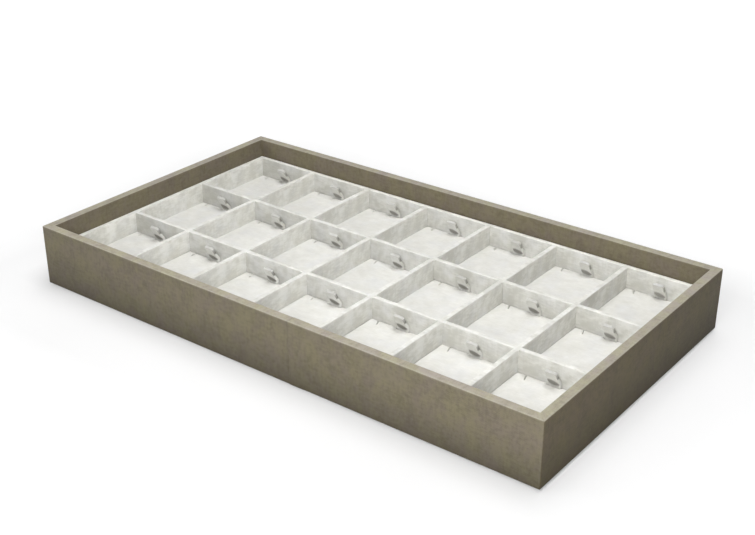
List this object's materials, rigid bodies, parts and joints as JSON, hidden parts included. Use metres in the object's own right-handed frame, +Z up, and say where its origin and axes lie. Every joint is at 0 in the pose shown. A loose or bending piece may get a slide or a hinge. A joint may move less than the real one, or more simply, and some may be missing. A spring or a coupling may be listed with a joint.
{
  "type": "pendant display tray",
  "caption": "Wrapped rectangular display tray with a lift-out linen insert of cells, each with a padded base that tips up and a leaning hook tab for a pendant.",
  "frame": {"origin": "centre of the footprint, on the surface that the tray stands on", "axes": "+X along the length, +Y from the front long side to the back long side that the hook tabs face away from, +Z up"},
  "size_m": [0.3746, 0.2096, 0.0428],
  "materials": {
    "leatherette_cover": "matte taupe leatherette with a linen weave emboss",
    "board_core": "raw fibreboard",
    "foot_felt": "flocked felt",
    "tray_liner": "matte taupe lining sheet",
    "linen_board": "off-white linen glued on greyboard",
    "card_floor": "off-white card",
    "ledge_strip": "off-white board strip",
    "hook_linen": "off-white linen glued on card",
    "pad_linen": "off-white linen over foam and card"
  },
  "bodies": {
    "tray": {"wall_board_front": "board_core", "wall_board_back": "board_core", "wall_board_left": "board_core", "wall_board_right": "board_core", "outer_cover": "leatherette_cover", "base_board": "board_core", "stacking_foot": "board_core", "foot_felt": "foot_felt", "tray_liner": "tray_liner"},
    "insert": {"insert_floor": "card_floor", "insert_board_front": "linen_board", "insert_board_back": "linen_board", "insert_board_left": "linen_board", "insert_board_right": "linen_board", "row_divider_1": "linen_board", "row_divider_2": "linen_board", "cross_divider_1": "linen_board", "cross_divider_2": "linen_board", "cross_divider_3": "linen_board", "cross_divider_4": "linen_board", "cross_divider_5": "linen_board", "cross_divider_6": "linen_board", "pad_ledges_row_1": "ledge_strip", "pad_ledges_row_2": "ledge_strip", "pad_ledges_row_3": "ledge_strip", "hook_tabs_row_1": "hook_linen", "hook_tabs_row_2": "hook_linen", "hook_tabs_row_3": "hook_linen"},
    "pad_r1_c1_body": {"pad_r1_c1": "pad_linen"},
    "pad_r1_c2_body": {"pad_r1_c2": "pad_linen"},
    "pad_r1_c3_body": {"pad_r1_c3": "pad_linen"},
    "pad_r1_c4_body": {"pad_r1_c4": "pad_linen"},
    "pad_r1_c5_body": {"pad_r1_c5": "pad_linen"},
    "pad_r1_c6_body": {"pad_r1_c6": "pad_linen"},
    "pad_r1_c7_body": {"pad_r1_c7": "pad_linen"},
    "pad_r2_c1_body": {"pad_r2_c1": "pad_linen"},
    "pad_r2_c2_body": {"pad_r2_c2": "pad_linen"},
    "pad_r2_c3_body": {"pad_r2_c3": "pad_linen"},
    "pad_r2_c4_body": {"pad_r2_c4": "pad_linen"},
    "pad_r2_c5_body": {"pad_r2_c5": "pad_linen"},
    "pad_r2_c6_body": {"pad_r2_c6": "pad_linen"},
    "pad_r2_c7_body": {"pad_r2_c7": "pad_linen"},
    "pad_r3_c1_body": {"pad_r3_c1": "pad_linen"},
    "pad_r3_c2_body": {"pad_r3_c2": "pad_linen"},
    "pad_r3_c3_body": {"pad_r3_c3": "pad_linen"},
    "pad_r3_c4_body": {"pad_r3_c4": "pad_linen"},
    "pad_r3_c5_body": {"pad_r3_c5": "pad_linen"},
    "pad_r3_c6_body": {"pad_r3_c6": "pad_linen"},
    "pad_r3_c7_body": {"pad_r3_c7": "pad_linen"}
  },
  "joints": [
    {"name": "insert_lift", "type": "slide", "parent": "tray", "child": "insert", "axis": [0, 0, 1], "range_m": [0, 0.04]},
    {"name": "pad_r1_c1_tilt", "type": "hinge", "parent": "insert", "child": "pad_r1_c1_body", "pos_m": [-0.15371, -0.03446, 0.016], "axis": [-1, 0, 0], "range_deg": [0, 35]},
    {"name": "pad_r1_c2_tilt", "type": "hinge", "parent": "insert", "child": "pad_r1_c2_body", "pos_m": [-0.10247, -0.03446, 0.016], "axis": [-1, 0, 0], "range_deg": [0, 35]},
    {"name": "pad_r1_c3_tilt", "type": "hinge", "parent": "insert", "child": "pad_r1_c3_body", "pos_m": [-0.05124, -0.03446, 0.016], "axis": [-1, 0, 0], "range_deg": [0, 35]},
    {"name": "pad_r1_c4_tilt", "type": "hinge", "parent": "insert", "child": "pad_r1_c4_body", "pos_m": [0, -0.03446, 0.016], "axis": [-1, 0, 0], "range_deg": [0, 35]},
    {"name": "pad_r1_c5_tilt", "type": "hinge", "parent": "insert", "child": "pad_r1_c5_body", "pos_m": [0.05124, -0.03446, 0.016], "axis": [-1, 0, 0], "range_deg": [0, 35]},
    {"name": "pad_r1_c6_tilt", "type": "hinge", "parent": "insert", "child": "pad_r1_c6_body", "pos_m": [0.10247, -0.03446, 0.016], "axis": [-1, 0, 0], "range_deg": [0, 35]},
    {"name": "pad_r1_c7_tilt", "type": "hinge", "parent": "insert", "child": "pad_r1_c7_body", "pos_m": [0.15371, -0.03446, 0.016], "axis": [-1, 0, 0], "range_deg": [0, 35]},
    {"name": "pad_r2_c1_tilt", "type": "hinge", "parent": "insert", "child": "pad_r2_c1_body", "pos_m": [-0.15371, 0.03006, 0.016], "axis": [-1, 0, 0], "range_deg": [0, 35]},
    {"name": "pad_r2_c2_tilt", "type": "hinge", "parent": "insert", "child": "pad_r2_c2_body", "pos_m": [-0.10247, 0.03006, 0.016], "axis": [-1, 0, 0], "range_deg": [0, 35]},
    {"name": "pad_r2_c3_tilt", "type": "hinge", "parent": "insert", "child": "pad_r2_c3_body", "pos_m": [-0.05124, 0.03006, 0.016], "axis": [-1, 0, 0], "range_deg": [0, 35]},
    {"name": "pad_r2_c4_tilt", "type": "hinge", "parent": "insert", "child": "pad_r2_c4_body", "pos_m": [0, 0.03006, 0.016], "axis": [-1, 0, 0], "range_deg": [0, 35]},
    {"name": "pad_r2_c5_tilt", "type": "hinge", "parent": "insert", "child": "pad_r2_c5_body", "pos_m": [0.05124, 0.03006, 0.016], "axis": [-1, 0, 0], "range_deg": [0, 35]},
    {"name": "pad_r2_c6_tilt", "type": "hinge", "parent": "insert", "child": "pad_r2_c6_body", "pos_m": [0.10247, 0.03006, 0.016], "axis": [-1, 0, 0], "range_deg": [0, 35]},
    {"name": "pad_r2_c7_tilt", "type": "hinge", "parent": "insert", "child": "pad_r2_c7_body", "pos_m": [0.15371, 0.03006, 0.016], "axis": [-1, 0, 0], "range_deg": [0, 35]},
    {"name": "pad_r3_c1_tilt", "type": "hinge", "parent": "insert", "child": "pad_r3_c1_body", "pos_m": [-0.15371, 0.09458, 0.016], "axis": [-1, 0, 0], "range_deg": [0, 35]},
    {"name": "pad_r3_c2_tilt", "type": "hinge", "parent": "insert", "child": "pad_r3_c2_body", "pos_m": [-0.10247, 0.09458, 0.016], "axis": [-1, 0, 0], "range_deg": [0, 35]},
    {"name": "pad_r3_c3_tilt", "type": "hinge", "parent": "insert", "child": "pad_r3_c3_body", "pos_m": [-0.05124, 0.09458, 0.016], "axis": [-1, 0, 0], "range_deg": [0, 35]},
    {"name": "pad_r3_c4_tilt", "type": "hinge", "parent": "insert", "child": "pad_r3_c4_body", "pos_m": [0, 0.09458, 0.016], "axis": [-1, 0, 0], "range_deg": [0, 35]},
    {"name": "pad_r3_c5_tilt", "type": "hinge", "parent": "insert", "child": "pad_r3_c5_body", "pos_m": [0.05124, 0.09458, 0.016], "axis": [-1, 0, 0], "range_deg": [0, 35]},
    {"name": "pad_r3_c6_tilt", "type": "hinge", "parent": "insert", "child": "pad_r3_c6_body", "pos_m": [0.10247, 0.09458, 0.016], "axis": [-1, 0, 0], "range_deg": [0, 35]},
    {"name": "pad_r3_c7_tilt", "type": "hinge", "parent": "insert", "child": "pad_r3_c7_body", "pos_m": [0.15371, 0.09458, 0.016], "axis": [-1, 0, 0], "range_deg": [0, 35]}
  ]
}
